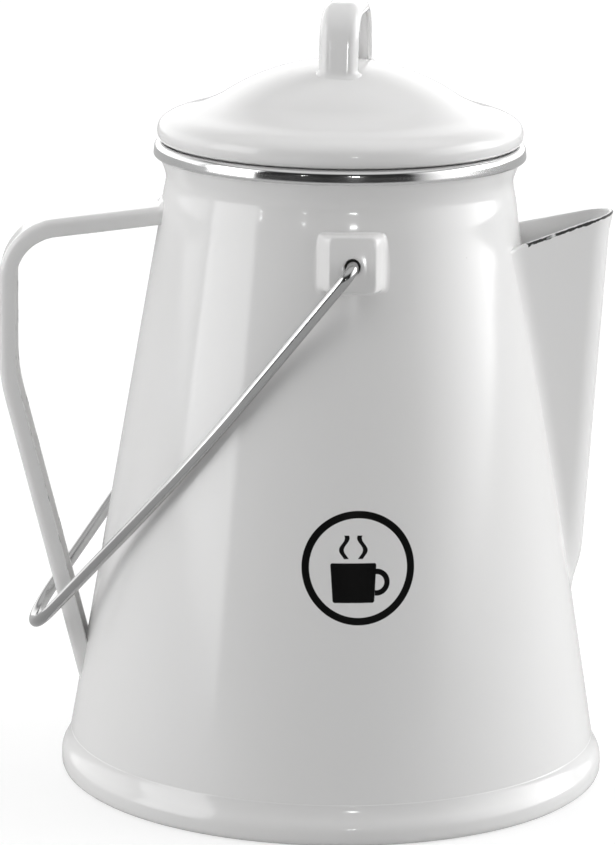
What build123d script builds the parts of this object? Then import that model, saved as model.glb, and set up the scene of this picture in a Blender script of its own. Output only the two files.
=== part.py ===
from build123d import *
import os
from math import asin, atan, cos, pi, radians, sin, sqrt, tan

# Enamelled steel camping percolator with a percolating insert. All sizes are in millimetres.
# The origin is the middle of the underside. +Z is up, +X points at the spout, the handle is on -X
# and the two ears of the wire bail are on -Y and +Y.

# Enamelled sheet
sheet = 1.2                  # steel with enamel on both sides

# Pot: a cone with a short waisted neck, a rolled hem below and a steel band on the mouth
foot_r = 87.3                # outside of the cone where it stands on the hem
foot_z = 5.2
hem_r = 89.1                 # outermost
hem_tube_r = 2.5
mouth_z = 205.0              # middle of the steel band
band_r = 59.6                # outermost
band_tube_r = 2.3
shoulder_r = 57.1
shoulder_drop = 19.0         # shoulder below the mouth
neck_r = 55.8                # outside of the narrowest place
neck_drop = 8.8
flare_r = 57.0               # outside of the flare under the band
flare_drop = 5.0

# Spout: a V-shaped trough, open at the top
spout_depth_top = 28.6       # nose in front of the cone, at the rim
spout_depth_low = 6.1        # the same where the toe starts
spout_half_angle = 25.0
spout_nose_r = 10.8
spout_bend_z = 76.0
spout_toe_z = 62.0
spout_reach_in = 60.0        # V behind its nose, before the pot is cut from it
spout_rim_drop = 27.4        # root of the rim below the mouth
spout_rim_rise = 15.3        # degrees
strainer_hole_r = 2.5
strainer_pitch_z = 12.0
strainer_pitch_y = 9.0
strainer_top_drop = 41.0
strainer_rows = 6

# Handle: a channel of sheet bent into a C, open towards the pot
handle_width = 18.0
handle_depth = 5.6
handle_corner_r = 2.6
handle_reach = 109.1         # back of the grip from the pot's axis
handle_top_drop = 18.2       # top of the arm below the mouth, at the pot
handle_arm_fall = 7.3        # degrees
handle_top_bend_r = 20.0
handle_low_bend_r = 60.0
handle_low_bend_z = 130.7
handle_foot_z = 30.0
handle_run_in = 12.0         # both ends run on into the pot, before it is cut from them

# Ears: pressed boxes welded on the cone, which carry the bail
ear_x = 2.0
ear_drop = 26.8              # hole below the mouth
ear_standoff = 5.0
ear_plate_x = 14.4
ear_plate_z = 16.5
ear_flank = 3.5              # how much wider each side is at the pot
ear_shoulder = 0.5
ear_run_in = 8.0             # behind the wall, before the pot is cut from it
ear_hole_r = 2.8

# Bail
wire_r = 1.9
bail_rest_angle = 52.45      # below level, on the handle's side
bail_ear_gap = 3.3           # wire in front of the ear's plate, at the hole
bail_pin_gap = 1.2           # end of the wire off the pot
bail_knee = 80.9             # along the leg from the ear
bail_knee_clearance = 4.7    # knee off the cone
bail_knee_r = 181.0
bail_corner_r = 4.5
bail_end_r = 19.8
bail_end_gap = 10.7          # wire outside the back of the handle

# Lid
lid_seat_gap = 0.15
brim_overhang = 1.3          # brim beyond the middle of the band
brim_turn = 1.4              # lower edge turned in under the brim
brim_lift = 0.15             # the same edge above the seat
brim_belly_z = 3.85          # widest place, above the seat
ogee = ((2.8, 7.65), (7.0, 9.25), (11.6, 10.55))  # in from the brim and above the seat
ogee_sag = 0.25
dome_r = 38.0                # where the ogee turns into the dome
dome_z = 14.65               # the same, above the seat
lid_height = 26.25
collar_clearance = 0.8       # lid's collar in the neck
collar_depth = 7.0           # collar below the middle of the band
collar_sheet = 1.0
knob_turn = 9.0              # degrees from +Y towards +X
knob_width = 11.8
knob_depth = 4.2
knob_corner_r = 3.0
knob_sheet = 1.3
knob_height = 48.0           # top above the mouth
knob_base = 20.5             # half of the loop at the dome
knob_top = 17.5
knob_bend_r = 12.5
knob_run_in = 12.0           # start of the loop above the seat, before the lid is cut from it

# Percolating insert
metal = 0.8
stem_r = 4.8
stem_bore_r = 4.0
stem_top_drop = 15.0         # below the mouth
stem_z = 12.0
pump_r = 27.0
pump_gap = 0.1               # bell above the pot's floor
pump_height = 24.0
pump_waist_r = 14.85         # where the bell's flank bends up
pump_waist_z = 10.1
pump_throat_z = 17.3         # inside, where the bell closes on the stem
pump_notch_r = 3.0
floor_sheet = 1.2
stop_z = 106.0
stop_height = 4.0
stop_r = 7.5
basket_r = 42.0
basket_height = 58.0
basket_lip = 1.2
sleeve_height = 38.0
slide_clearance = 0.3
sieve_hole_r = 1.3
sieve_rings = ((12.0, 8), (19.0, 14), (26.0, 20), (33.0, 26))
spreader_skirt = 4.0
seat_gap = 0.1               # between parts of the insert that stand on each other

# Sizes that follow
mouth_r = band_r - band_tube_r
shoulder_z = mouth_z - shoulder_drop
neck_z = mouth_z - neck_drop
ear_z = mouth_z - ear_drop
seat_z = mouth_z + band_tube_r + lid_seat_gap


def wall_r(z):
    """Outside radius of the cone at height z."""
    return foot_r + (shoulder_r - foot_r) * (z - foot_z) / (shoulder_z - foot_z)


def rz(r, z):
    """A point of a turned outline."""
    return (r, 0, z)


def turned(edges):
    """The solid that a closed outline sweeps around the pot's axis."""
    return revolve(make_face(edges), Axis.Z)


def ring(inner_r, outer_r, low_z, high_z):
    """A plain ring on the pot's axis."""
    tube = Cylinder(outer_r, high_z - low_z) - Cylinder(inner_r, high_z - low_z)
    return Pos(0, 0, (low_z + high_z) / 2) * tube


def disc(outer_r, low_z, high_z):
    """A plain disc on the pot's axis."""
    return Pos(0, 0, (low_z + high_z) / 2) * Cylinder(outer_r, high_z - low_z)


def inside_of(curve, thickness, count=14):
    """A curve inside a turned outline, one thickness from it along its normal."""
    points = []
    for i in range(count):
        share = i / (count - 1)
        along = curve % share
        normal = Vector(along.Z, 0, -along.X)
        points.append(curve @ share - normal * thickness)
    return Spline(*points)


def pot_outline(inset):
    """Outside of the cone and neck, moved inwards by inset, from the floor to the mouth."""
    low = rz(wall_r(hem_tube_r) - inset, hem_tube_r)
    shoulder = rz(shoulder_r - inset, shoulder_z)
    slope = (shoulder_r - foot_r) / (shoulder_z - foot_z)
    neck = Spline(
        shoulder,
        rz(neck_r - inset, neck_z),
        rz(flare_r - inset, mouth_z - flare_drop),
        rz(mouth_r + sheet / 2 - inset, mouth_z),
        tangents=((slope, 0, 1), (0.2, 0, 1)),
    )
    return [Line(low, shoulder), neck]


def pot_solid():
    """The pot without its hollow, for cutting what is welded on it."""
    cone, neck = pot_outline(0)
    low = cone @ 0
    top = neck @ 1
    edges = [cone, neck, Line(top, rz(0, mouth_z)), Line(rz(0, mouth_z), rz(0, low.Z))]
    return turned(edges + [Line(rz(0, low.Z), low)])


def base_plate():
    """Flat disc with the rolled hem that the cone stands on."""
    hem = Pos(0, 0, hem_tube_r) * Torus(hem_r - hem_tube_r, hem_tube_r)
    return disc(hem_r - hem_tube_r, 0, floor_sheet) + hem


def nose_x(z):
    """Front of the spout at height z: a straight line that curves back to the cone at the toe."""
    rim_z = mouth_z - spout_rim_drop
    top_x = wall_r(rim_z) + spout_depth_top
    low_x = wall_r(spout_bend_z) + spout_depth_low
    slope = (top_x - low_x) / (rim_z - spout_bend_z)
    x = low_x + slope * (z - spout_bend_z)
    if z >= spout_bend_z:
        return x
    toe_x = low_x + slope * (spout_toe_z - spout_bend_z)
    bend = (toe_x - wall_r(spout_toe_z)) / (spout_bend_z - spout_toe_z) ** 2
    return x - bend * (spout_bend_z - z) ** 2


def spout_section(z, inset):
    """The V of the spout at one height, open edge in the middle of the pot."""
    angle = radians(spout_half_angle)
    nose_r = spout_nose_r - inset
    tip = nose_x(z) - inset + nose_r * (1 / sin(angle) - 1)
    back = tip - spout_reach_in
    half = spout_reach_in * tan(angle)
    outline = Polyline((tip, 0, z), (back, half, z), (back, -half, z), close=True)
    face = make_face(outline)
    nose = face.vertices().sort_by(Axis.X)[-1]
    return fillet(nose, nose_r)


def spout_wedge(inset):
    """The whole V from under the toe to over the rim."""
    step = (spout_bend_z - spout_toe_z) / 4
    heights = [spout_bend_z - step * (5 - i) for i in range(6)]
    sections = [spout_section(z, inset) for z in heights + [mouth_z]]
    return loft(sections, ruled=True)


def spout_shell(pot):
    """Trough of sheet on the cone, with its rim rising to the lip."""
    rim_z = mouth_z - spout_rim_drop
    root_x = wall_r(rim_z)
    shell = spout_wedge(0) - spout_wedge(sheet) - pot
    rim = Plane(origin=(root_x, 0, rim_z), x_dir=(0, 1, 0), z_dir=(-sin(radians(spout_rim_rise)), 0,
                cos(radians(spout_rim_rise))))
    shell = shell - extrude(rim * Rectangle(4 * hem_r, 4 * hem_r), hem_r)
    front = Pos(2 * hem_r, 0, mouth_z / 2) * Box(4 * hem_r, 4 * hem_r, mouth_z)
    return (shell & front).solids().sort_by(SortBy.VOLUME)[-1]


def strainer_holes():
    """Rows of holes through the wall behind the spout, three or fewer to a row."""
    holes = []
    for row in range(strainer_rows):
        z = mouth_z - strainer_top_drop - row * strainer_pitch_z
        depth = nose_x(z) - wall_r(z)
        half = spout_nose_r + (depth - spout_nose_r) * tan(radians(spout_half_angle))
        side = 1 if half > strainer_pitch_y + strainer_hole_r + sheet else 0
        for i in range(-side, side + 1):
            hole = Cylinder(strainer_hole_r, spout_depth_top)
            holes.append(Pos(wall_r(z), i * strainer_pitch_y, z) * Rot(0, 90, 0) * hole)
    return holes


def body_shell(base):
    """Cone and neck in one pressing, open at both ends, with the strainer holes."""
    outer = pot_outline(0)
    inner = pot_outline(sheet)
    edges = outer + inner
    edges.append(Line(outer[0] @ 0, inner[0] @ 0))
    edges.append(Line(outer[1] @ 1, inner[1] @ 1))
    return turned(edges) - base - strainer_holes()


def rim_band(shell):
    """Rolled stainless band that grips the mouth."""
    return Pos(0, 0, mouth_z) * Torus(mouth_r, band_tube_r) - shell


def channel_section(plane, width, depth, corner_r, thickness):
    """A U of sheet: its back lies on the plane's origin and its legs run along the plane's +y."""
    outer = Rectangle(width, depth, align=(Align.CENTER, Align.MIN))
    outer = fillet(outer.vertices().group_by(Axis.Y)[0], corner_r)
    room = Rectangle(width - 2 * thickness, depth, align=(Align.CENTER, Align.MIN))
    room = fillet(room.vertices().group_by(Axis.Y)[0], corner_r - thickness)
    return plane * (outer - Pos(0, thickness) * room)


def handle_strap(pot):
    """C-shaped channel: an arm that falls away from the neck, a grip and a leg back to the cone."""
    fall = tan(radians(handle_arm_fall))
    top_z = mouth_z - handle_top_drop
    start = Vector(handle_run_in - shoulder_r, 0, top_z + handle_run_in * fall)
    corner = Vector(-handle_reach, 0, top_z - (handle_reach - shoulder_r) * fall)
    knee = Vector(-handle_reach, 0, handle_low_bend_z)
    foot = Vector(-wall_r(handle_foot_z), 0, handle_foot_z)
    end = foot + (foot - knee).normalized() * handle_run_in
    bends = [handle_top_bend_r, handle_low_bend_r]
    path = FilletPolyline(start, corner, knee, end, radius=bends)
    plane = Plane(origin=start, x_dir=(0, 1, 0), z_dir=corner - start)
    section = channel_section(plane, handle_width, handle_depth, handle_corner_r, sheet)
    strap = sweep(section, path=path) - pot
    return strap.solids().sort_by(SortBy.VOLUME)[-1]


def ear_block(inset):
    """Solid box of an ear on -Y, inset on every side, with its plate in line with the cone."""
    plate_y = wall_r(ear_z) + ear_standoff
    deep = ear_standoff + ear_run_in
    grow = deep / ear_standoff
    plate = Rectangle(ear_plate_x - 2 * inset, ear_plate_z - 2 * inset)
    foot = Rectangle(ear_plate_x + 2 * ear_flank * grow - 2 * inset,
                     ear_plate_z + 2 * ear_shoulder * grow - 2 * inset)
    lean = atan((foot_r - shoulder_r) / (shoulder_z - foot_z))
    outward = Vector(0, -cos(lean), sin(lean))
    middle = Vector(ear_x, -plate_y, ear_z)
    front = Plane(origin=middle - outward * inset, x_dir=(1, 0, 0), z_dir=outward)
    back = Plane(origin=middle - outward * deep, x_dir=(1, 0, 0), z_dir=outward)
    return loft([back * foot, front * plate], ruled=True)


def ear_front(pot):
    """Pressed ear on -Y with the hole for the bail."""
    hole = Pos(ear_x, -wall_r(ear_z), ear_z) * Rot(90, 0, 0) * Cylinder(ear_hole_r, 4 * ear_run_in)
    ear = ear_block(0) - ear_block(sheet) - hole - pot
    return ear.solids().sort_by(SortBy.VOLUME)[-1]


def bail_wire():
    """Wire bail: a pin through each ear, legs that clear the cone, and a rounded end."""
    down = radians(bail_rest_angle)
    plane = Plane(origin=(ear_x, 0, ear_z), x_dir=(-cos(down), 0, -sin(down)),
                  z_dir=(-sin(down), 0, cos(down)))
    pin_y = wall_r(ear_z) + bail_pin_gap
    leg_y = wall_r(ear_z) + ear_standoff + wire_r + bail_ear_gap
    knee_z = ear_z - bail_knee * sin(down)
    knee_x = ear_x - bail_knee * cos(down)
    knee_y = sqrt((wall_r(knee_z) + wire_r) ** 2 - knee_x ** 2) + bail_knee_clearance
    tip = bail_tip()
    # the legs meet the round end as tangents: solve the half angle between them by bisection
    low, high = 0.05, 1.5
    for i in range(40):
        half = (low + high) / 2
        apex = tip + bail_end_r * (1 / sin(half) - 1)
        if (apex - bail_knee) * tan(half) > knee_y:
            high = half
        else:
            low = half
    right = [(0, -pin_y), (0, -leg_y), (bail_knee, -knee_y)]
    left = [(s, -y) for s, y in reversed(right)]
    corners = [plane.from_local_coords((s, y, 0)) for s, y in right + [(apex, 0)] + left]
    bends = [bail_corner_r, bail_knee_r, bail_end_r, bail_knee_r, bail_corner_r]
    path = FilletPolyline(*corners, radius=bends)
    section = Plane(origin=path @ 0, z_dir=path % 0) * Circle(wire_r)
    return sweep(section, path=path)


def bail_tip():
    """Reach of the bail from its pins: past the back of the handle, along the rest angle."""
    down = radians(bail_rest_angle)
    lean = (handle_reach - wall_r(handle_foot_z)) / (handle_low_bend_z - handle_foot_z)
    level = handle_reach - lean * (handle_low_bend_z - ear_z)
    back = (ear_x + level) / (cos(down) + lean * sin(down))
    return back + bail_end_gap + wire_r


def lid_curves(inset):
    """Outline of the lid moved inwards by inset: a brim with an ogee, then a round dome."""
    brim = mouth_r + brim_overhang
    rise = lid_height - dome_z
    arc_r = (dome_r ** 2 + rise ** 2) / (2 * rise)
    middle = arc_r - (seat_z + lid_height)
    half = asin(dome_r / arc_r) / 2
    halfway = rz((arc_r - inset) * sin(half), (arc_r - inset) * cos(half) - middle)
    top = rz(0, seat_z + lid_height - inset)
    last_in, last_up = ogee[-1]
    edge = Spline(
        rz(brim - brim_turn, seat_z + brim_lift),
        rz(brim, seat_z + brim_belly_z),
        *[rz(brim - step_in, seat_z + up) for step_in, up in ogee],
        rz((brim - last_in + dome_r) / 2, seat_z + (last_up + dome_z) / 2 - ogee_sag),
        rz(dome_r, seat_z + dome_z),
    )
    if inset:
        edge = inside_of(edge, inset)
    return [edge, ThreePointArc(edge @ 1, halfway, top)]


def lid_shell():
    """Domed lid of sheet with a rounded brim that rests on the band."""
    outer = lid_curves(0)
    inner = lid_curves(sheet)
    low = Line(outer[0] @ 0, inner[0] @ 0)
    top = Line(outer[1] @ 1, inner[1] @ 1)
    return turned(outer + inner + [low, top])


def lid_solid(inset, floor_z):
    """Everything under the lid's outline moved inwards by inset, down to floor_z."""
    edge, dome = lid_curves(inset)
    start = edge @ 0
    low = rz(start.X, floor_z)
    middle = rz(0, floor_z)
    return turned([edge, dome, Line(start, low), Line(low, middle), Line(middle, dome @ 1)])


def lid_collar():
    """Ring under the lid that centres it in the neck."""
    outer_r = neck_r - sheet - collar_clearance
    tall = ring(outer_r - collar_sheet, outer_r, mouth_z - collar_depth, seat_z + lid_height)
    return tall & lid_solid(sheet, mouth_z - 2 * collar_depth)


def lid_knob():
    """Loop of channel on the dome, open side inwards."""
    top_z = mouth_z + knob_height
    low_z = seat_z + knob_run_in
    spread = knob_top + (knob_base - knob_top) * 2
    corners = [(-spread, low_z), (-knob_top, top_z), (knob_top, top_z), (spread, low_z)]
    points = [Vector(0, y, z) for y, z in corners]
    path = FilletPolyline(*points, radius=knob_bend_r)
    along = points[1] - points[0]
    plane = Plane(origin=points[0], x_dir=(1, 0, 0), z_dir=along)
    section = channel_section(plane, knob_width, knob_depth, knob_corner_r, knob_sheet)
    loop = Rot(0, 0, -knob_turn) * sweep(section, path=path)
    return (loop - lid_solid(0, seat_z - sheet)).solids().sort_by(SortBy.VOLUME)[-1]


def pump_stem():
    """Tube that carries the hot water up to the top of the basket."""
    return ring(stem_bore_r, stem_r, stem_z, mouth_z - stem_top_drop)


def pump_bell():
    """Flared foot of the stem, which stands on the floor and traps the steam."""
    low_z = floor_sheet + pump_gap
    outer = Spline(
        rz(pump_r, low_z),
        rz(pump_waist_r, low_z + pump_waist_z),
        rz(stem_r + metal, low_z + pump_height),
        tangents=((-0.6, 0, 1), (0, 0, 1)),
    )
    inner = Spline(
        rz(pump_r - metal, low_z),
        rz(pump_waist_r - metal, low_z + pump_waist_z - metal),
        rz(stem_r, low_z + pump_throat_z),
        tangents=((-0.6, 0, 1), (0, 0, 1)),
    )
    neck = Line(inner @ 1, rz(stem_r, low_z + pump_height))
    top = Line(rz(stem_r, low_z + pump_height), outer @ 1)
    bell = turned([outer, inner, neck, top, Line(outer @ 0, inner @ 0)])
    for turn in (0, 90):
        bell -= Pos(0, 0, low_z) * Rot(90, 0, turn) * Cylinder(pump_notch_r, 3 * pump_r)
    return bell


def basket_stop():
    """Ring on the stem that the basket stands on."""
    return ring(stem_r, stop_r, stop_z, stop_z + stop_height)


def sieve_holes(z):
    """Rings of small holes for a disc at height z."""
    holes = []
    for radius, count in sieve_rings:
        for i in range(count):
            angle = 2 * pi * i / count
            spot = Pos(radius * cos(angle), radius * sin(angle), z)
            holes.append(spot * Cylinder(sieve_hole_r, 6 * metal))
    return holes


def basket():
    """Cup for the ground coffee with a sieve floor and a sleeve that slides on the stem."""
    low_z = stop_z + stop_height + seat_gap
    top_z = low_z + basket_height
    sleeve_r = stem_r + slide_clearance
    cup = ring(sleeve_r, basket_r, low_z, low_z + metal) - sieve_holes(low_z)
    cup += ring(basket_r - metal, basket_r, low_z, top_z)
    cup += ring(basket_r - metal, basket_r + basket_lip, top_z - metal, top_z)
    return cup + ring(sleeve_r, sleeve_r + metal, low_z, low_z + sleeve_height)


def spreader():
    """Sieve lid of the basket, which spreads the water that runs out of the stem."""
    low_z = stop_z + stop_height + seat_gap + basket_height + seat_gap
    inner_r = basket_r + basket_lip + slide_clearance
    outer_r = inner_r + metal
    plate = ring(stem_r + slide_clearance, outer_r, low_z, low_z + metal) - sieve_holes(low_z)
    plate += ring(inner_r, outer_r, low_z - spreader_skirt, low_z + metal)
    hub_r = stem_r + slide_clearance
    return plate + ring(hub_r, hub_r + metal, low_z, low_z + 4 * metal)


def build():
    """Every piece at rest, by the name of its node."""
    pot = pot_solid()
    base = base_plate()
    shell = body_shell(base)
    ear = ear_front(pot)
    return {
        "body_shell": shell,
        "base_plate": base,
        "rim_band": rim_band(shell),
        "spout_shell": spout_shell(pot),
        "handle_strap": handle_strap(pot),
        "ear_front": ear,
        "ear_rear": mirror(ear, about=Plane.XZ),
        "bail_wire": bail_wire(),
        "lid_shell": lid_shell(),
        "lid_collar": lid_collar(),
        "lid_knob": lid_knob(),
        "pump_stem": pump_stem(),
        "pump_bell": pump_bell(),
        "basket_stop": basket_stop(),
        "coffee_basket": basket(),
        "basket_spreader": spreader(),
    }


os.makedirs("parts", exist_ok=True)
for name, shape in build().items():
    export_step(shape, "parts/" + name + ".step")
    print(name, round(shape.volume))
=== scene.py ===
import bmesh
import bpy
import numpy as np
from mathutils import Matrix


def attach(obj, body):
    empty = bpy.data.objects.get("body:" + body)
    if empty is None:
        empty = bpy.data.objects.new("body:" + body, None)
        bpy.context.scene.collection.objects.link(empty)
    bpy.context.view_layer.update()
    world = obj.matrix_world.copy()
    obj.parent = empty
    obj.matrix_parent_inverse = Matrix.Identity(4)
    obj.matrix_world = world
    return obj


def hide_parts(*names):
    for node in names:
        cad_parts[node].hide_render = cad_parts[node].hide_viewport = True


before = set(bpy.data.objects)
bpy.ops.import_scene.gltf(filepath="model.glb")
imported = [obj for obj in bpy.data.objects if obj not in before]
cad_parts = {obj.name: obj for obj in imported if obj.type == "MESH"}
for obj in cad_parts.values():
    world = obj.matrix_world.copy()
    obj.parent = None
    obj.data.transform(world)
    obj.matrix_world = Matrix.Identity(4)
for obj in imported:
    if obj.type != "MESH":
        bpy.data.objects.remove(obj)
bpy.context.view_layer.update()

print("frame loaded:", len(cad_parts), "nodes")

# sizes are in millimetres, +X towards the spout, +Z up, and become metres in the mesh


def smoothStep(x):
    # 3x^2 - 2x^3 with x held between 0 and 1
    x = np.clip(x, 0, 1)
    return x * x * (3 - 2 * x)


def softMax(a, b, width):
    # the larger of two fields, rounded where they cross: max + h^2 / (4 width), h = what is left of width
    h = np.maximum(width - np.abs(a - b), 0)
    return np.maximum(a, b) + h * h / (4 * width)


def smoothCurve(points, count):
    # natural cubic spline through the points, by chord length: the second derivatives come from one linear system
    p = np.asarray(points, float)
    t = np.concatenate([[0], np.cumsum(np.linalg.norm(np.diff(p, axis=0), axis=1))])
    h = np.diff(t)[:, None]
    n = len(p)
    system = np.eye(n)
    right = np.zeros_like(p)
    inner = np.arange(1, n - 1)
    system[inner, inner - 1] = h[:-1, 0]
    system[inner, inner] = 2 * (h[:-1, 0] + h[1:, 0])
    system[inner, inner + 1] = h[1:, 0]
    right[1:-1] = 6 * (np.diff(p, axis=0)[1:] / h[1:] - np.diff(p, axis=0)[:-1] / h[:-1])
    bend = np.linalg.solve(system, right)
    at = np.linspace(0, t[-1], count)
    i = np.clip(np.searchsorted(t, at, "right") - 1, 0, n - 2)
    u, v, w = (at - t[i])[:, None], (t[i + 1] - at)[:, None], h[i]
    return (
        bend[i] * v**3 / (6 * w)
        + bend[i + 1] * u**3 / (6 * w)
        + (p[i] / w - bend[i] * w / 6) * v
        + (p[i + 1] / w - bend[i + 1] * w / 6) * u
    )


def roundPath(corners, radii, step, turnStep, loop=False):
    # straight runs, cut into steps, joined by tangent arcs: an arc starts radius * tan(turn / 2) before its corner
    p = np.asarray(corners, float)
    n = len(p)
    pieces = []
    for i in range(n):
        if not loop and i in (0, n - 1):
            pieces.append(p[i : i + 1])
            continue
        a = p[i] - p[i - 1]
        b = p[(i + 1) % n] - p[i]
        a, b = a / np.linalg.norm(a), b / np.linalg.norm(b)
        turn = np.arccos(np.clip(a @ b, -1, 1))
        radius = radii[i] if loop else radii[i - 1]
        if radius == 0 or turn < 1e-4:
            pieces.append(p[i : i + 1])
            continue
        inward = b - a * (a @ b)
        inward = inward / np.linalg.norm(inward)
        start = p[i] - a * radius * np.tan(turn / 2)
        s = np.linspace(0, turn, max(3, int(np.degrees(turn) / turnStep) + 2))[:, None]
        pieces.append(start + inward * radius + radius * (a * np.sin(s) - inward * np.cos(s)))
    if loop:
        pieces.append(pieces[0][:1])
    joined = [pieces[0]]
    for before, after in zip(pieces, pieces[1:]):
        run = after[0] - before[-1]
        cuts = int(np.linalg.norm(run) / step)
        s = (np.arange(1, cuts + 1) / (cuts + 1))[:, None]
        joined += [before[-1] + run * s, after]
    points = np.concatenate(joined)
    return points[:-1] if loop else points


def unit(rows):
    # every vector scaled to length 1
    return rows / np.linalg.norm(rows, axis=-1)[..., None]


def ringTurns(count):
    # angles of the points of a closed ring
    return np.arange(count) * 2 * np.pi / count


def turned(profile, columns):
    # a profile of (r, z) carried round the axis: x = r cos a, y = r sin a
    a = ringTurns(columns)
    r, z = np.asarray(profile, float).T
    return np.stack([r[:, None] * np.cos(a), r[:, None] * np.sin(a), np.repeat(z[:, None], columns, 1)], -1)


def swept(path, side, section, grow=None):
    # a section of (across, inward) carried along a path: point = path + side * across + (tangent x side) * inward
    inward = unit(np.cross(unit(np.gradient(path, axis=0)), side))
    section = np.broadcast_to(section, (len(path),) + np.shape(section)[-2:])
    if grow is not None:
        section = section + grow
    return path[:, None] + side * section[..., 0:1] + inward[:, None] * section[..., 1:2]


def capped(grid):
    # closes a tube's two ends with the middle of each end row
    ends = [np.repeat(row.mean(0)[None], grid.shape[1], 0)[None] for row in (grid[0], grid[-1])]
    return np.concatenate([ends[0], grid, ends[1]])


def newObject(name, data):
    made = bpy.data.objects.new(name, data)
    bpy.context.collection.objects.link(made)
    return made


def turnOutwards(mesh, merge=0.0):
    # all faces outwards, after points nearer than merge have become one
    work = bmesh.new()
    work.from_mesh(mesh)
    if merge:
        bmesh.ops.remove_doubles(work, verts=work.verts, dist=merge)
    bmesh.ops.recalc_face_normals(work, faces=work.faces)
    work.to_mesh(mesh)
    work.free()


def makePiece(name, grid, body, node, paint, loopRows=False, loopColumns=True, marks=None):
    # rows x columns x 3 in millimetres become quads; rows that shrink to a point are merged into a pole
    rows, columns = grid.shape[:2]
    index = np.arange(rows * columns).reshape(rows, columns)
    if loopRows:
        index = np.concatenate([index, index[:1]])
    if loopColumns:
        index = np.concatenate([index, index[:, :1]], 1)
    quads = np.stack([index[:-1, :-1], index[:-1, 1:], index[1:, 1:], index[1:, :-1]], -1).reshape(-1, 4)
    mesh = bpy.data.meshes.new(name)
    mesh.from_pydata((grid.reshape(-1, 3) * 0.001).tolist(), [], quads.tolist())
    for mark, values in (marks or {}).items():
        layer = mesh.attributes.new(mark, "FLOAT", "POINT")
        layer.data.foreach_set("value", np.broadcast_to(values, (rows, columns)).reshape(-1).astype(np.float32))
    turnOutwards(mesh, merge=2e-7)
    mesh.polygons.foreach_set("use_smooth", np.ones(len(mesh.polygons), bool))
    mesh.materials.append(paint)
    piece = newObject(name, mesh)
    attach(piece, body)
    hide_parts(node)
    return piece


def cutHoles(piece, places, radius, length, sides=28):
    # round holes through a piece along X, cut with a rod of that many sides at each place
    a = ringTurns(sides)
    ring = radius * np.stack([0 * a, -np.cos(a), -np.sin(a)], -1)
    reach = np.array((length / 2, 0.0, 0.0))
    points = np.concatenate([np.concatenate([place - reach + ring, place + reach + ring]) for place in places])
    faces = []
    for i in range(len(places)):
        low = 2 * sides * i + np.arange(sides)
        faces += np.stack([low, np.roll(low, -1), np.roll(low, -1) + sides, low + sides], -1).tolist()
        faces += [low[::-1].tolist(), (low + sides).tolist()]
    mesh = bpy.data.meshes.new("rods")
    mesh.from_pydata((points * 0.001).tolist(), [], faces)
    turnOutwards(mesh)
    rods = newObject("rods", mesh)
    cut = piece.modifiers.new("holes", "BOOLEAN")
    cut.operation = "DIFFERENCE"
    cut.solver = "EXACT"
    cut.object = rods
    bpy.context.view_layer.update()
    done = bpy.data.meshes.new_from_object(piece.evaluated_get(bpy.context.evaluated_depsgraph_get()))
    piece.modifiers.clear()
    piece.data = done
    bpy.data.objects.remove(rods)


class Link:
    # one output in a paint's node tree; arithmetic on it adds Math nodes
    def __init__(self, paint, socket):
        self.paint, self.socket = paint, socket

    def math(self, operation, *values):
        return self.paint.node("ShaderNodeMath", {"operation": operation}, dict(enumerate(values)))

    def __add__(self, other):
        return self.math("ADD", self, other)

    def __radd__(self, other):
        return self.math("ADD", other, self)

    def __sub__(self, other):
        return self.math("SUBTRACT", self, other)

    def __rsub__(self, other):
        return self.math("SUBTRACT", other, self)

    def __mul__(self, other):
        return self.math("MULTIPLY", self, other)

    def __rmul__(self, other):
        return self.math("MULTIPLY", other, self)

    def __truediv__(self, other):
        return self.math("DIVIDE", self, other)

    def __pow__(self, other):
        return self.math("POWER", self, other)

    def __abs__(self):
        return self.math("ABSOLUTE", self)

    def sin(self):
        return self.math("SINE", self)

    def smaller(self, other):
        return self.math("MINIMUM", self, other)

    def larger(self, other):
        return self.math("MAXIMUM", self, other)

    def clamp(self):
        return self.math("MAXIMUM", self.math("MINIMUM", self, 1.0), 0.0)

    def ramp(self, start, full):
        # 0 up to start, rising to 1 at full
        return ((self - start) / (full - start)).clamp()

    def below(self, edge, width):
        # 1 where this is under edge, 0 over it, with a ramp of that width
        return ((edge - self) / width + 0.5).clamp()


class Paint:
    # a node tree that is being drawn, for a material or for the world
    def __init__(self, tree):
        self.tree = tree
        tree.nodes.clear()

    def node(self, kind, settings=None, values=None, output=0):
        made = self.tree.nodes.new(kind)
        for key, value in (settings or {}).items():
            setattr(made, key, value)
        for key, value in (values or {}).items():
            if isinstance(value, Link):
                self.tree.links.new(value.socket, made.inputs[key])
            else:
                made.inputs[key].default_value = value
        return Link(self, made.outputs[output]) if len(made.outputs) else made

    def place(self):
        # the object's own coordinates, in metres
        return self.node("ShaderNodeTexCoord", output="Object")

    def parts(self, vector):
        split = self.node("ShaderNodeSeparateXYZ", values={0: vector})
        return [Link(self, split.socket.node.outputs[i]) for i in range(3)]

    def noise(self, scale, detail=3.0, roughness=0.5, vector=None):
        values = {"Vector": vector or self.place(), "Scale": scale, "Detail": detail, "Roughness": roughness}
        return self.node("ShaderNodeTexNoise", values=values)

    def stretched(self, scale):
        # the object's coordinates, squeezed along each axis
        return self.node("ShaderNodeMapping", values={"Vector": self.place(), "Scale": scale})

    def mix(self, share, first, second):
        # sockets 0, 6 and 7 are the factor and the two colours of a Mix node set to colour, and 2 is its result
        return self.node("ShaderNodeMix", {"data_type": "RGBA"}, {0: share, 6: first, 7: second}, output=2)

    def bump(self, height, distance, before=None):
        values = {"Height": height, "Strength": 1.0, "Distance": distance}
        if before:
            values["Normal"] = before
        return self.node("ShaderNodeBump", values=values)

    def attribute(self, name):
        return self.node("ShaderNodeAttribute", {"attribute_name": name}, output="Fac")


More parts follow.
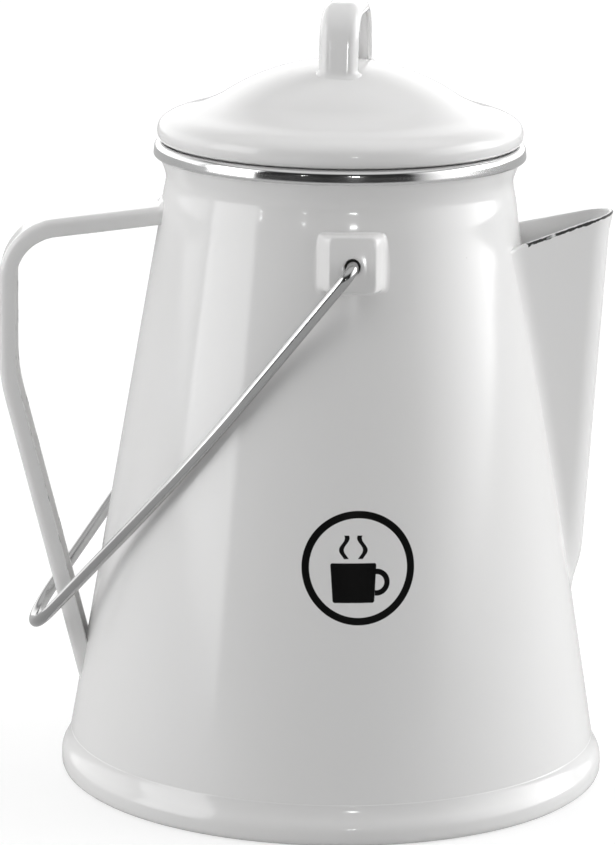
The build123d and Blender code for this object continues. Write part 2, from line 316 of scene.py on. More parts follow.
def grey(value, warmth=0.0):
    # a near-neutral colour, warmth over 0 towards yellow and under 0 towards blue
    return (value * (1 + warmth), value, value * (1 - 1.5 * warmth), 1.0)


def newPaint(name):
    material = bpy.data.materials.new(name)
    material.use_nodes = True
    return material, Paint(material.node_tree)


def finishPaint(paint, colour, roughness, normal, **fixed):
    values = {"Base Color": colour, "Roughness": roughness, "Normal": normal, **fixed}
    shader = paint.node("ShaderNodeBsdfPrincipled", values=values)
    paint.node("ShaderNodeOutputMaterial", values={"Surface": shader})


enamelLook = {
    "white": 0.86,
    "warmth": 0.006,
    "mottle": 0.015,
    "cloudScale": 14.0,
    "speckScale": 46.0,
    "speckSize": 0.012,
    "speckShare": 0.42,
    "speckTone": 0.2,
    "shine": 0.07,
    "dulling": 0.05,
    "wave": 0.00003,   # metres
    "waveScale": 60.0,
    "peel": 0.000003,  # metres
    "peelScale": 420.0,
}


def enamelColour(paint):
    # slow cloudy change of the white, with a few tiny dark specks in the glaze
    look = enamelLook
    cloud = paint.noise(look["cloudScale"], 2.0)
    darker, lighter = look["white"] - look["mottle"], look["white"] + look["mottle"]
    base = paint.mix(cloud, grey(darker, look["warmth"]), grey(lighter))
    cells = {"Vector": paint.place(), "Scale": look["speckScale"]}
    centre = paint.node("ShaderNodeTexVoronoi", {"feature": "F1"}, cells, output="Distance")
    speck = centre.below(look["speckSize"], 0.01) * paint.noise(9.0, 0.0).below(look["speckShare"], 0.02)
    return paint.mix(speck, base, grey(look["speckTone"], 0.03))


def enamelSurface(paint):
    # slow waves of the fired glaze and a fine orange peel on them
    look = enamelLook
    wave = paint.bump(paint.noise(look["waveScale"], 1.0), look["wave"])
    normal = paint.bump(paint.noise(look["peelScale"], 2.0), look["peel"], wave)
    roughness = look["shine"] + look["dulling"] * paint.noise(30.0, 3.0)
    return roughness, normal


def plainEnamel(name):
    material, paint = newPaint(name)
    roughness, normal = enamelSurface(paint)
    finishPaint(paint, enamelColour(paint), roughness, normal)
    return material


emblem = {
    "turn": 3.8,       # degrees round the pot, away from -Y
    "height": 85.6,    # of the ring's middle
    "ringR": 16.4,
    "ringLine": 1.15,  # half of its width, like the other lines here
    "mugX": -1.6,
    "mugZ": -4.6,
    "mugHalf": (6.4, 5.4),
    "mugTaper": 0.06,
    "mugCorner": 0.7,
    "earX": 5.6,
    "earZ": -4.4,
    "earR": 3.3,
    "earLine": 0.85,
    "earFrom": 5.0,
    "wispZ": 6.4,
    "wispHalf": 3.6,
    "wispApart": 2.8,
    "wispLine": 0.75,
    "ink": 0.004,
    "soft": 0.16,
}


def emblemMask(paint):
    # a printed ring with a mug and two wisps of steam, as distances to plain shapes in the plane of the print
    turn = np.radians(emblem["turn"])
    x, y, z = paint.parts(paint.place())
    across = (x * np.cos(turn) + y * np.sin(turn)) * 1000
    front = x * np.sin(turn) - y * np.cos(turn)
    up = z * 1000 - emblem["height"]

    def length(a, b):
        return (a * a + b * b) ** 0.5

    ring = abs(length(across, up) - emblem["ringR"]) - emblem["ringLine"]
    mugX = abs(across - emblem["mugX"]) - emblem["mugHalf"][0] - up * emblem["mugTaper"]
    mugZ = abs(up - emblem["mugZ"]) - emblem["mugHalf"][1]
    mug = length(mugX.larger(0.0), mugZ.larger(0.0)) + mugX.larger(mugZ).smaller(0.0) - emblem["mugCorner"]
    ear = abs(length(across - emblem["earX"], up - emblem["earZ"]) - emblem["earR"]) - emblem["earLine"]
    ear = ear.larger(emblem["earFrom"] - across)
    sway = (up * 0.85).sin() * 0.9
    wisps = abs(abs(across - emblem["mugX"]) - emblem["wispApart"] + sway) - emblem["wispLine"]
    wisps = wisps.larger(abs(up - emblem["wispZ"]) - emblem["wispHalf"])
    shape = ring.smaller(mug).smaller(ear).smaller(wisps)
    return shape.below(0.0, emblem["soft"]) * front.math("GREATER_THAN", front, 0.0)


def potEnamel(name):
    material, paint = newPaint(name)
    mask = emblemMask(paint)
    colour = paint.mix(mask, enamelColour(paint), grey(emblem["ink"]))
    roughness, normal = enamelSurface(paint)
    finishPaint(paint, colour, roughness + mask * 0.04, normal)
    return material


def edgedEnamel(name, width, share):
    # enamel that has run thin on a cut edge: dark iron shows in ragged stretches of a width in mm,
    # over a share of the edge; the attribute "rim" is the distance from the edge in mm
    material, paint = newPaint(name)
    distance = paint.attribute("rim")
    ragged = paint.noise(260.0, 3.0, 0.7) * 1.6 - 0.3
    bare = distance.below(width * ragged, 0.12) * paint.noise(170.0, 1.0).below(share, 0.06)
    colour = paint.mix(bare, enamelColour(paint), grey(0.025, 0.02))
    roughness, normal = enamelSurface(paint)
    finishPaint(paint, colour, roughness + bare * 0.35, normal)
    return material


def steelPaint(name, tone, shine, streak, streakAxes):
    # bright steel with fine drawing or polishing lines, a little dulling and hairline scratches
    material, paint = newPaint(name)
    lines = paint.noise(1.0, 3.0, 0.6, paint.stretched(streakAxes))
    cloud = paint.noise(55.0, 3.0)
    colour = paint.mix(cloud, grey(tone * 0.9, -0.004), grey(tone, 0.004))
    roughness = shine + streak * lines + 0.05 * cloud
    finishPaint(paint, colour, roughness, paint.bump(lines, 0.00004 * streak), Metallic=1.0)
    return material


def spunAluminium(name, shine):
    # turning lines that follow the height and the distance from the axis, over a dull grey skin
    material, paint = newPaint(name)
    x, y, z = paint.parts(paint.place())
    reach = (x * x + y * y) ** 0.5
    lines = {"W": (reach + z * 0.8) * 2600.0, "Scale": 1.0, "Detail": 3.0}
    turning = paint.node("ShaderNodeTexNoise", {"noise_dimensions": "1D"}, lines)
    stain = paint.noise(38.0, 4.0, 0.6)
    colour = paint.mix(stain, grey(0.62, 0.01), grey(0.78, 0.0))
    roughness = shine + 0.16 * turning + 0.12 * stain
    finishPaint(paint, colour, roughness, paint.bump(turning, 0.000012), Metallic=1.0)
    return material


pot = {
    "footR": 87.3,
    "footZ": 5.2,
    "shoulderR": 57.1,
    "shoulderZ": 186.0,
    "bendFrom": (14.0, 6.0),  # the cone's last two heights under the shoulder, where it starts to curve
    "neck": [
        (57.25, 186.2), (56.95, 188.4), (56.25, 192.2), (55.8, 196.2),
        (56.9, 200.0), (57.7, 202.2), (58.0, 203.6), (57.9, 205.0),
    ],
    "sheet": 1.2,
    "floorZ": 1.2,
    "columns": 384,
}


def wallR(z):
    # outside of the cone, a straight line from the foot to the shoulder
    slope = (pot["shoulderR"] - pot["footR"]) / (pot["shoulderZ"] - pot["footZ"])
    return pot["footR"] + slope * (z - pot["footZ"])


def potProfile():
    # up the outside of the cone and neck, then down the inside a sheet's thickness away
    coneTop, easeZ = (pot["shoulderZ"] - drop for drop in pot["bendFrom"])
    low = np.linspace(pot["floorZ"], coneTop, 60)
    cone = np.stack([wallR(low), low], -1)
    bend = smoothCurve([cone[-2], cone[-1], (wallR(easeZ), easeZ)] + pot["neck"], 60)
    bend = bend[bend[:, 1] > coneTop + 0.5]
    outer = np.concatenate([cone, bend])
    along = unit(np.gradient(outer, axis=0))
    inner = outer - np.stack([along[:, 1], -along[:, 0]], -1) * pot["sheet"]
    inner[0] = (wallR(pot["floorZ"]) - pot["sheet"], pot["floorZ"])
    return np.concatenate([outer, inner[::-1]])


potGrid = turned(potProfile(), pot["columns"])
potPiece = makePiece("potShell", potGrid, "pot", "body_shell", potEnamel("potEnamel"), loopRows=True)
print("pot shell made")

spout = {
    "halfAngle": 25.0,
    "noseR": 10.8,
    "depthTop": 28.6,
    "depthLow": 6.1,
    "bendZ": 76.0,
    "toeZ": 62.0,
    "rimZ": 177.6,
    "rimRise": 15.3,
    "rimRound": 0.45,
    "foot": 3.4,       # width of the weld's fillet on the cone
    "sink": 0.2,       # where the sheet has run into the wall
    "sinkInside": 0.6,
    "thinnest": 0.5,
    "lipOut": 0.8,
    "lipTurn": 0.14,   # radians to each side of the nose
    "lipHeight": 9.0,
    "sheet": 1.2,
    "widest": 33.0,    # degrees to each side of +X
    "startDrop": 7.0,  # the sheet starts this far under the toe, inside the wall
    "bareFrom": 3.3,   # off the wall, where the rim starts to show iron
    "bareRamp": 0.7,
}


def noseX(z):
    # front of the spout: a straight line that curves back into the cone under the bend
    topX = wallR(spout["rimZ"]) + spout["depthTop"]
    lowX = wallR(spout["bendZ"]) + spout["depthLow"]
    slope = (topX - lowX) / (spout["rimZ"] - spout["bendZ"])
    x = lowX + slope * (z - spout["bendZ"])
    toeX = lowX + slope * (spout["toeZ"] - spout["bendZ"])
    bend = (toeX - wallR(spout["toeZ"])) / (spout["bendZ"] - spout["toeZ"]) ** 2
    return x - bend * np.maximum(spout["bendZ"] - z, 0) ** 2


def troughR(turn, z, inset, lip):
    # distance of the trough from the pot's axis: a nose arc, then its tangent at the half angle on each side
    half = np.radians(spout["halfAngle"])
    nose = noseX(z) - inset + lip
    tipR = spout["noseR"] - inset
    middle = nose - tipR
    flat = middle * np.sin(half) + tipR
    side = flat / (np.cos(turn) * np.sin(half) + np.abs(np.sin(turn)) * np.cos(half))
    contact = np.arctan2(tipR * np.cos(half), middle + tipR * np.sin(half))
    arc = middle * np.cos(turn) + np.sqrt(np.maximum(tipR**2 - (middle * np.sin(turn)) ** 2, 0))
    return np.where(np.abs(turn) < contact, arc, side)


def spoutGrid():
    # columns run round the trough, crowded at the nose, and rows run from the toe to the rim and back down inside
    s = np.linspace(-1, 1, 161)
    turn = np.radians(spout["widest"]) * (0.45 * s + 0.55 * s**3)
    share = np.linspace(0, 1, 110)
    share = 0.75 * share + 0.25 * (1 - (1 - share) ** 3)
    rise = np.tan(np.radians(spout["rimRise"]))
    rootR = wallR(spout["rimZ"])
    nearNose = spout["lipOut"] * np.exp(-((turn / spout["lipTurn"]) ** 2))
    topZ = np.full_like(turn, spout["rimZ"])
    for again in range(12):  # the rim rises with its reach, which depends on its height
        reach = softMax(wallR(topZ) - spout["sink"], troughR(turn, topZ, 0, nearNose), spout["foot"])
        topZ = spout["rimZ"] + (reach * np.cos(turn) - rootR) * rise
    lowZ = spout["toeZ"] - spout["startDrop"]
    z = lowZ + share[:, None] * (topZ - lowZ)
    lip = nearNose * smoothStep(1 - (topZ - z) / spout["lipHeight"]) ** 1.5
    outer = softMax(wallR(z) - spout["sink"], troughR(turn, z, 0, lip), spout["foot"])
    inner = np.minimum(troughR(turn, z, spout["sheet"], lip), outer - spout["thinnest"])
    inner = np.maximum(wallR(z) - spout["sinkInside"], inner)
    # round of the rim: share of the way to the inner face, drop in radii, distance from the outer corner
    rimRound = ((0, 0.7, 0), (0.15, 0.15, 0.12), (0.5, 0, 0.6), (0.85, 0.15, 1.0), (1, 0.7, spout["sheet"]))
    r, height = [outer[:-1]], [z[:-1]]
    for inwards, drop, away in rimRound:
        r.append(outer[-1:] * (1 - inwards) + inner[-1:] * inwards)
        height.append(z[-1:] - spout["rimRound"] * drop)
    r = np.concatenate(r + [inner[-2::-1]])
    height = np.concatenate(height + [z[-2::-1]])
    grid = np.stack([r * np.cos(turn), r * np.sin(turn), height], -1)
    # distance from the outer corner, kept large on the inner face and where the rim runs out into the wall
    fromEdge = np.maximum(topZ - spout["rimRound"] * 0.7 - height, 0)
    side = len(outer) - 1
    across = np.concatenate([np.zeros(side), [away for *_, away in rimRound], np.full(side, spout["sheet"])])
    bareFrom = outer[-1] - wallR(topZ) - spout["bareFrom"]
    ends = 9 * (1 - smoothStep(bareFrom / spout["bareRamp"])) - 0.5 * np.exp(-(((bareFrom - 1) / 0.5) ** 2))
    return grid, fromEdge + across[:, None] + ends


def closedSheet(grid, marks):
    # adds a column at each side that joins the two faces of the sheet half way
    flip = grid[::-1]
    sides = [((grid[:, i] + flip[:, i]) / 2)[:, None] for i in (0, -1)]
    wider = np.concatenate([sides[0], grid, sides[1]], 1)
    return wider, np.concatenate([marks[:, :1], marks, marks[:, -1:]], 1)


spoutShape, spoutRim = closedSheet(*spoutGrid())
spoutPaint = edgedEnamel("spoutEnamel", 0.8, 0.7)
makePiece(
    "spoutTrough", spoutShape, "pot", "spout_shell", spoutPaint,
    loopRows=True, loopColumns=False, marks={"rim": spoutRim},
)

strainer = {"radius": 2.5, "top": 164.0, "rows": 6, "pitchZ": 12.0, "pitchY": 9.0, "depth": 30.0}
strainerPlaces = []
for row in range(strainer["rows"]):
    z = strainer["top"] - row * strainer["pitchZ"]
    depth = noseX(z) - wallR(z)
    room = spout["noseR"] + (depth - spout["noseR"]) * np.tan(np.radians(spout["halfAngle"]))
    reach = 1 if room > strainer["pitchY"] + strainer["radius"] + spout["sheet"] else 0
    strainerPlaces += [(wallR(z), side * strainer["pitchY"], z) for side in range(-reach, reach + 1)]
cutHoles(potPiece, np.array(strainerPlaces), strainer["radius"], strainer["depth"])
print("spout and strainer made:", len(strainerPlaces), "holes")


base = {
    # (r, z) from the middle of the underside, over its groove and up round the hem
    "outside": [
        (0, 0), (30, 0), (60, 0), (80.5, 0), (82.0, 0), (82.8, 0.35), (83.8, 0.35), (84.6, 0),
        (85.6, 0), (87.2, 0), (88.1, 0.18), (88.75, 0.7), (89.05, 1.5), (89.1, 2.6),
    ],
    "flare": [
        (89.1, 3.9), (89.0, 5.2), (88.55, 6.5), (87.85, 7.8), (87.2, 9.0), (86.7, 10.2), (86.33, 11.4), (86.05, 12.7),
    ],
    "inside": [(85.5, 13.0), (86.6, 6.0), (87.0, 3.0), (86.2, 1.9), (84.0, 1.2), (60, 1.2), (30, 1.2), (0, 1.2)],
}
baseProfile = np.concatenate([base["outside"], smoothCurve(base["flare"], 26), base["inside"]])
baseGrid = turned(baseProfile, pot["columns"])
makePiece("basePan", baseGrid, "pot", "base_plate", plainEnamel("baseEnamel"))

band = {
    "outline": [(56.0, 203.4), (59.85, 202.55), (59.35, 207.3), (55.6, 207.35)],  # leans back towards the top
    "rounding": [0.4, 0.75, 1.9, 1.6],
    "columns": 320,
}
bandProfile = roundPath(band["outline"], band["rounding"], 0.6, 8, loop=True)
bandPaint = steelPaint("rimSteel", 0.74, 0.06, 0.05, (40.0, 40.0, 900.0))
makePiece("rimBand", turned(bandProfile, band["columns"]), "pot", "rim_band", bandPaint, loopRows=True)
print("base and rim made")

handle = {
    "width": 18.0,
    "depth": 5.6,
    "corner": 2.6,
    "sheet": 1.2,
    "reach": 109.1,
    "topZ": 186.8,
    "fall": 7.3,
    "bendTop": 20.0,
    "bendLow": 60.0,
    "lowBendZ": 130.7,
    "footZ": 30.0,
    "topRunIn": 3.0,  # both ends run on into the pot's wall
    "footRunIn": 5.0,
    "fillet": 2.0,
}


def channel(width, depth, corner, sheet):
    # outline of a U of sheet: across and inward, back on 0, with rounded corners and rounded free edges
    half = width / 2
    inner = half - sheet
    corners = [
        (-half, 0), (half, 0), (half, depth), (inner, depth),
        (inner, sheet), (-inner, sheet), (-inner, depth), (-half, depth),
    ]
    lipR = sheet * 0.46
    radii = [corner, corner, lipR, lipR, corner - sheet, corner - sheet, lipR, lipR]
    return roundPath(corners, radii, 1.2, 15, loop=True)


def sectionNormals(section):
    # outward direction at each point of a closed section, and whether the point is on its outer skin
    edge = np.roll(section, -1, 0) - np.roll(section, 1, 0)
    normal = np.stack([edge[:, 1], -edge[:, 0]], -1)
    normal /= np.linalg.norm(normal, axis=1)[:, None] + 1e-9
    outer = ((section - section.mean(0)) * normal).sum(1) > 0
    return normal, outer


def filletGrow(gap, size, direction):
    # a section swells near what it stands on: size * (1 - gap / size)^2, along each point's direction
    swell = size * np.clip(1 - gap / size, 0, 1) ** 2
    return swell[..., None] * direction


def handleGrid():
    # the arm leaves the shoulder, falls to the top bend, and the strap runs down and in to the foot
    fall = np.tan(np.radians(handle["fall"]))
    startX, runIn = pot["shoulderR"], handle["topRunIn"]
    corners = np.array([
        (-startX + runIn, 0, handle["topZ"] + runIn * fall),
        (-handle["reach"], 0, handle["topZ"] - (handle["reach"] - startX) * fall),
        (-handle["reach"], 0, handle["lowBendZ"]),
        (-wallR(handle["footZ"]), 0, handle["footZ"]),
    ])
    corners[3] += unit(corners[3] - corners[2]) * handle["footRunIn"]
    path = roundPath(corners, [handle["bendTop"], handle["bendLow"]], 1.0, 4)
    section = channel(handle["width"], handle["depth"], handle["corner"], handle["sheet"])
    side = np.array((0.0, 1.0, 0.0))
    plain = swept(path, side, section)
    gap = np.hypot(plain[..., 0], plain[..., 1]) - wallR(plain[..., 2])
    gap = np.where(plain[..., 2] > handle["lowBendZ"], gap, handle["fillet"])
    normal, outer = sectionNormals(section)
    back = np.clip(-normal[:, 1:2], 0, 1) * outer[:, None]  # only the arm's top runs out into the neck
    grid = swept(path, side, section, filletGrow(gap, handle["fillet"], normal * back))
    rim = np.broadcast_to(handle["depth"] - section[:, 1], grid.shape[:2])
    return capped(grid), np.concatenate([rim[:1], rim, rim[-1:]])


handleShape, handleRim = handleGrid()
handlePaint = edgedEnamel("handleEnamel", 0.16, 0.4)
handleMarks = {"rim": handleRim}
makePiece("handleStrap", handleShape, "pot", "handle_strap", handlePaint, marks=handleMarks)
print("handle made")

ear = {
    "x": 2.0,
    "z": 178.2,
    "standoff": 5.0,
    "plateUp": 0.5,  # the plate sits this far over the hole's middle
    "power": 9.0,    # of the squarish rings, where 2 is a circle
    # half width, half height, height over the wall: from the hole over the plate, down the flanks and back inside
    "stations": [
        (2.45, 2.45, 3.3), (2.45, 2.45, 4.5), (2.6, 2.6, 4.88), (2.9, 2.9, 5.0), (4.0, 4.0, 5.0), (5.6, 6.4, 5.0),
        (6.6, 7.7, 5.0), (7.1, 8.25, 4.95), (7.45, 8.6, 4.7), (7.9, 8.75, 4.1), (8.8, 8.85, 2.9), (9.6, 8.95, 1.7),
        (10.1, 9.05, 0.9), (10.6, 9.3, 0.35), (11.6, 9.9, 0.02), (12.4, 10.6, -0.25), (11.4, 9.8, -0.7),
        (9.0, 8.0, 0.0), (7.2, 7.6, 2.6), (5.6, 6.2, 3.6), (3.4, 3.4, 3.7), (2.6, 2.6, 3.5),
    ],
}


def earGrid(side):
    # rings round the hole: a circle turns into a squarish ring, |x / a|^n + |z / b|^n = 1, on the leaning wall
    a = ringTurns(120)
    rows = smoothCurve(np.array(ear["stations"]), 130)
    power = 2 + (ear["power"] - 2) * smoothStep((rows[:, :1] - 3.4) / 2.4)
    c, s = np.abs(np.cos(a)) + 1e-9, np.abs(np.sin(a)) + 1e-9
    reach = ((c / rows[:, :1]) ** power + (s / rows[:, 1:2]) ** power) ** (-1 / power)
    across, up = reach * np.cos(a), reach * np.sin(a)
    z = ear["z"] + up + ear["plateUp"] * smoothStep((rows[:, 1:2] - 3.0) / 4)
    x = ear["x"] + across
    flat = smoothStep(rows[:, 2:3] / ear["standoff"])
    wall = np.sqrt(wallR(z) ** 2 - x**2) * (1 - flat) + wallR(z) * flat
    return np.stack([x, side * (wall + rows[:, 2:3]), z], -1)


earPaint = plainEnamel("earEnamel")
for pieceName, node, side in (("earFront", "ear_front", -1), ("earRear", "ear_rear", 1)):
    makePiece(pieceName, earGrid(side), "pot", node, earPaint, loopRows=True)

bail = {
    "restAngle": 52.45,  # below level, on the handle's side
    "wireR": 1.9,
    "earGap": 3.3,
    "pinGap": 1.2,
    "knee": 80.9,
    "kneeClearance": 4.7,
    "kneeR": 181.0,
    "cornerR": 4.5,
    "endR": 19.8,
    "endGap": 10.7,  # behind the grip
    "cutRound": 0.5,
}


def bailPath():
    # in the plane of the bail: pin, leg and knee beside the cone, then a straight V to the round end behind the grip
    down = np.radians(bail["restAngle"])
    out = np.array((-np.cos(down), 0, -np.sin(down)))
    lean = (handle["reach"] - wallR(handle["footZ"])) / (handle["lowBendZ"] - handle["footZ"])
    level = handle["reach"] - lean * (handle["lowBendZ"] - ear["z"])
    tip = (ear["x"] + level) / (np.cos(down) + lean * np.sin(down)) + bail["endGap"] + bail["wireR"]
    pinY = wallR(ear["z"]) + bail["pinGap"]
    legY = wallR(ear["z"]) + ear["standoff"] + bail["wireR"] + bail["earGap"]
    kneeZ = ear["z"] - bail["knee"] * np.sin(down)
    kneeX = ear["x"] - bail["knee"] * np.cos(down)
    kneeY = np.sqrt((wallR(kneeZ) + bail["wireR"]) ** 2 - kneeX**2) + bail["kneeClearance"]
    half = np.linspace(0.05, 1.5, 40000)  # half angle of the V: the one that leads back to the knee is kept
    apexes = tip + bail["endR"] * (1 / np.sin(half) - 1)
    apex = apexes[np.argmin(np.abs((apexes - bail["knee"]) * np.tan(half) - kneeY))]
    leg = [(0, -pinY), (0, -legY), (bail["knee"], -kneeY)]
    flat = np.array(leg + [(apex, 0)] + [(s, -y) for s, y in reversed(leg)])
    radii = [bail["cornerR"], bail["kneeR"], bail["endR"], bail["kneeR"], bail["cornerR"]]
    flat = roundPath(flat, radii, 3.0, 3)
    place = np.array((ear["x"], 0, ear["z"]))
    return place + flat[:, :1] * out + flat[:, 1:] * np.array((0.0, 1.0, 0.0)), np.cross(out, (0.0, 1.0, 0.0))


def wireGrid(path, side, radius, edge, columns=28):
    # rings of the wire, with a small round-over at each cut end
    a = ringTurns(columns)
    ring = np.stack([np.cos(a), np.sin(a)], -1) * radius
    run = np.concatenate([[0], np.cumsum(np.linalg.norm(np.diff(path, axis=0), axis=1))])
    left = np.minimum(run, run[-1] - run)
    lost = 1 - np.sqrt(np.clip(1 - (1 - left / edge) ** 2, 0, 1))
    swell = np.where(left < edge, 1 - edge / radius * lost, 1.0)
    return capped(swept(path, side, ring[None] * swell[:, None, None]))


bailLine, bailSide = bailPath()
firstRun = bailLine[0] + (bailLine[1] - bailLine[0]) * np.linspace(0, 0.9, 10)[:, None]
lastRun = bailLine[-2] + (bailLine[-1] - bailLine[-2]) * np.linspace(0.1, 1, 10)[:, None]
bailLine = np.concatenate([firstRun, bailLine[1:-1], lastRun])
bailPaint = steelPaint("bailSteel", 0.5, 0.07, 0.06, (120.0, 900.0, 160.0))
bailGrid = wireGrid(bailLine, bailSide, bail["wireR"], bail["cutRound"])
makePiece("bailWire", bailGrid, "bail", "bail_wire", bailPaint)
print("ears and bail made")

lid = {
    "seatZ": 207.45,
    "brim": 58.6,
    # out from the brim's radius and up from its seat: under the brim, round its edge and into the ogee
    "edge": [
        (-3.3, 0.55), (-2.4, 0.12), (-1.4, 0.2), (-0.45, 1.2), (0, 3.85),
        (-0.75, 5.95), (-2.8, 7.65), (-6.8, 9.2), (-11.6, 10.55),
    ],
    "ogeeSag": 0.25,
    "domeR": 38.0,
    "domeZ": 14.65,
    "height": 26.25,
    "sheet": 1.2,
    "columns": 320,
}


def domeArcR():
    # radius of the circle through the dome's edge and its top: (edge^2 + rise^2) / (2 rise)
    rise = lid["height"] - lid["domeZ"]
    return (lid["domeR"] ** 2 + rise**2) / (2 * rise)


def domeZ(r):
    # height of the dome's outside at a distance from the axis
    return lid["seatZ"] + lid["height"] - domeArcR() + np.sqrt(domeArcR() ** 2 - r**2)


def lidProfile():
    # brim and ogee through their points, then the dome as a circle through its edge and its top
    edge = [(lid["brim"] + r, lid["seatZ"] + z) for r, z in lid["edge"]]
    domeEdge = (lid["domeR"], lid["seatZ"] + lid["domeZ"])
    step = ((edge[-1][0] + domeEdge[0]) / 2, (edge[-1][1] + domeEdge[1]) / 2 - lid["ogeeSag"])
    arcR = domeArcR()
    turn = np.linspace(np.arcsin(lid["domeR"] / arcR), 0, 50)
    dome = np.stack([arcR * np.sin(turn), domeZ(arcR * np.sin(turn))], -1)
    ogee = smoothCurve(edge + [step, tuple(dome[0]), tuple(dome[2]), tuple(dome[4])], 150)
    return np.concatenate([ogee[ogee[:, 0] > dome[3, 0]], dome[4:]])


def lidShape():
    # the outside, and an inside a sheet's thickness away that starts once the brim has turned over
    outer = lidProfile()
    start = np.argmax(outer[:, 0] > lid["brim"] - 0.7) + 18
    along = unit(np.gradient(outer, axis=0))
    inward = np.stack([-along[:, 1], along[:, 0]], -1)
    inner = (outer + inward * lid["sheet"])[start:]
    inner[-1, 0] = 0
    return np.concatenate([inner[::-1], outer])


lidGrid = turned(lidShape(), lid["columns"])
makePiece("lidShell", lidGrid, "lid", "lid_shell", plainEnamel("lidEnamel"))

collar = {"outR": 53.8, "inR": 52.8, "low": 198.0, "high": 214.3, "rounding": [0.4, 0.4, 0.1, 0.1], "columns": 240}
collarOutline = [
    (collar["inR"], collar["low"]), (collar["outR"], collar["low"]),
    (collar["outR"], collar["high"]), (collar["inR"], collar["high"]),
]
collarGrid = turned(roundPath(collarOutline, collar["rounding"], 1.5, 20, loop=True), collar["columns"])
makePiece("lidCollar", collarGrid, "lid", "lid_collar", plainEnamel("collarEnamel"), loopRows=True)

knob = {
    "turn": 9.8,    # degrees, clockwise from above
    "aside": 1.3,   # towards the spout
    "width": 12.6,
    "depth": 4.2,
    "corner": 3.9,
    "sheet": 1.3,
    "topZ": 253.0,
    "lowUp": 19.0,  # ends of both legs over the lid's seat, under the dome's skin
    "lowHalf": 21.1,
    "topHalf": 17.5,
    "bend": 12.5,
    "flare": 1.3,
}


def knobGrid():
    # an arch of channel across the dome, whose legs flare where they meet it
    leg = [(0, knob["lowHalf"], lid["seatZ"] + knob["lowUp"]), (0, knob["topHalf"], knob["topZ"])]
    corners = [(x, -y, z) for x, y, z in leg] + leg[::-1]
    path = roundPath(corners, [knob["bend"], knob["bend"]], 0.6, 5)
    section = channel(knob["width"], knob["depth"], knob["corner"], knob["sheet"])
    side = np.array((1.0, 0.0, 0.0))
    grid = swept(path, side, section)
    normal, outer = sectionNormals(section)
    for again in range(4):  # the dome falls away, so the gap is read again where the flare has come to
        gap = grid[..., 2] - domeZ(np.hypot(grid[..., 0], grid[..., 1]))
        grid = swept(path, side, section, filletGrow(gap, knob["flare"], normal * outer[:, None]))
    turn = -np.radians(knob["turn"])
    spin = np.array([[np.cos(turn), -np.sin(turn), 0], [np.sin(turn), np.cos(turn), 0], [0, 0, 1]])
    return capped(grid) @ spin.T + np.array((knob["aside"], 0.0, 0.0))


makePiece("lidLoop", knobGrid(), "lid", "lid_knob", plainEnamel("loopEnamel"))
print("lid and loop made")

# the percolating insert is hidden inside, so its pieces keep the frame's shapes
insertPaints = {
    "pump_stem": ("stemAluminium", 0.24),
    "pump_bell": ("bellAluminium", 0.3),
    "basket_stop": ("stopAluminium", 0.26),
    "coffee_basket": ("basketAluminium", 0.28),
    "basket_spreader": ("spreaderAluminium", 0.32),
}
for nodeName, (paintName, shine) in insertPaints.items():
    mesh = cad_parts[nodeName].data
    mesh.materials.clear()
    mesh.materials.append(spunAluminium(paintName, shine))
print("insert painted")

# the floor is in metres; its own light makes it white to the camera and leaves a faint shadow
floorLook = {"half": 30.0, "drop": 0.0002, "albedo": 0.45, "glowSeen": 0.62, "glowCast": 0.12}
floorMesh = bpy.data.meshes.new("floor")
floorCorners = np.array([(-1, -1, 0), (1, -1, 0), (1, 1, 0), (-1, 1, 0)]) * floorLook["half"]
floorMesh.from_pydata(floorCorners.tolist(), [], [(0, 1, 2, 3)])
floor = newObject("floor", floorMesh)
floor.location.z = -floorLook["drop"]
floorMaterial, floorPaint = newPaint("paleFloor")
seen = floorPaint.node("ShaderNodeLightPath", output="Is Camera Ray")
floorDiffuse = floorPaint.node("ShaderNodeBsdfDiffuse", values={"Color": grey(floorLook["albedo"])})
floorStrength = seen * floorLook["glowSeen"] + (1 - seen) * floorLook["glowCast"]
floorGlow = floorPaint.node("ShaderNodeEmission", values={"Color": grey(1.0), "Strength": floorStrength})
floorShader = floorPaint.node("ShaderNodeAddShader", values={0: floorDiffuse, 1: floorGlow})
floorPaint.node("ShaderNodeOutputMaterial", values={"Surface": floorShader})
floorMesh.materials.append(floorMaterial)

studio = {
    "front": 0.03,  # the dark side, where the camera stands
    "left": 3.2,    # tall soft box on the handle's side
    "right": 3.4,
    "behind": 1.6,
    "above": 0.8,
    "seen": 1.2,    # white behind the pot, for the camera only
    # where each light starts and is full, or where it ends, in degrees round the pot from -Y towards +X
    "leftStart": (-92.5, -89.5),
    "leftEnd": -56.0,
    "rightStart": (42.0, 88.0),
    "rightEnd": 118.0,
    "behindStart": (86.0, 100.0),
    # and in degrees over the horizon
    "leftTop": 38.0,
    "rightTop": 40.0,
    "behindTop": 36.0,
    "aboveStart": (38.0, 54.0),
}
world = bpy.data.worlds.new("studio")
bpy.context.scene.world = world
world.use_nodes = True
sky = Paint(world.node_tree)
dirX, dirY, dirZ = sky.parts(sky.node("ShaderNodeTexCoord", output="Generated"))
around = dirX.math("ARCTAN2", dirX, 0.0 - dirY) * (180 / np.pi)
above = dirZ.math("ARCSINE", dirZ) * (180 / np.pi)
leftBox = around.ramp(*studio["leftStart"]) * around.below(studio["leftEnd"], 3.0)
leftBox = leftBox * above.below(studio["leftTop"], 6.0)
rightBox = around.ramp(*studio["rightStart"]) * around.below(studio["rightEnd"], 8.0)
rightBox = rightBox * above.below(studio["rightTop"], 10.0)
behind = abs(around).ramp(*studio["behindStart"]) * above.below(studio["behindTop"], 24.0)
overhead = above.ramp(*studio["aboveStart"])
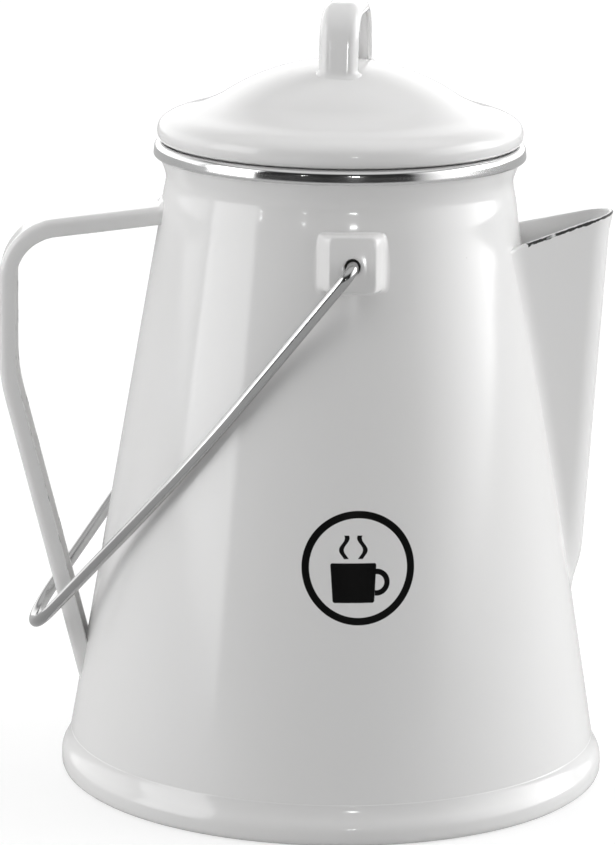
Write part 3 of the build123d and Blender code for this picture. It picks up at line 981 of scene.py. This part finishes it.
level = studio["front"] + studio["left"] * leftBox + studio["right"] * rightBox + studio["behind"] * behind
level = level.larger(studio["above"] * overhead)
cameraRay = sky.node("ShaderNodeLightPath", output="Is Camera Ray")
strength = level * (1 - cameraRay) + cameraRay * studio["seen"]
skyLight = sky.node("ShaderNodeBackground", values={"Color": grey(1.0), "Strength": strength})
sky.node("ShaderNodeOutputWorld", values={"Surface": skyLight})


def smallLamp(name, turn, tilt, size, radiance, distance=1.5, aimZ=0.12):
    # a small bright panel that faces the pot, in metres and degrees; power = radiance * area * pi
    data = bpy.data.lights.new(name, "AREA")
    data.shape = "RECTANGLE"
    data.size, data.size_y = size
    data.energy = radiance * size[0] * size[1] * np.pi
    lamp = newObject(name, data)
    turn, tilt = np.radians(turn), np.radians(tilt)
    spot = np.array((np.sin(turn) * np.cos(tilt), -np.cos(turn) * np.cos(tilt), np.sin(tilt))) * distance
    facing = Matrix.Rotation(turn, 4, "Z") @ Matrix.Rotation(np.pi / 2 - tilt, 4, "X")
    lamp.matrix_world = Matrix.Translation((spot[0], spot[1], spot[2] + aimZ)) @ facing
    lamp.visible_camera = False


smallLamp("lampRight", 7.0, 11.5, (0.10, 0.022), 90.0)
smallLamp("lampLeft", -24.0, 12.5, (0.04, 0.02), 36.0)
smallLamp("lampFarLeft", -53.0, 12.0, (0.02, 0.02), 70.0)

view = {"place": (-0.0479, -1.2470, 0.4032), "turn": -1.776, "down": 13.021, "roll": 0.78, "lens": 167.49}
cameraData = bpy.data.cameras.new("camera")
cameraData.lens = view["lens"]
cameraData.sensor_width = 36.0
cameraData.clip_start, cameraData.clip_end = 0.05, 100.0
camera = newObject("camera", cameraData)
camera.matrix_world = (
    Matrix.Translation(view["place"])
    @ Matrix.Rotation(np.radians(view["turn"]), 4, "Z")
    @ Matrix.Rotation(np.radians(90 - view["down"]), 4, "X")
    @ Matrix.Rotation(np.radians(view["roll"]), 4, "Z")
)
bpy.context.scene.camera = camera
bpy.context.scene.view_settings.view_transform = "Standard"
print("floor, light and camera set")
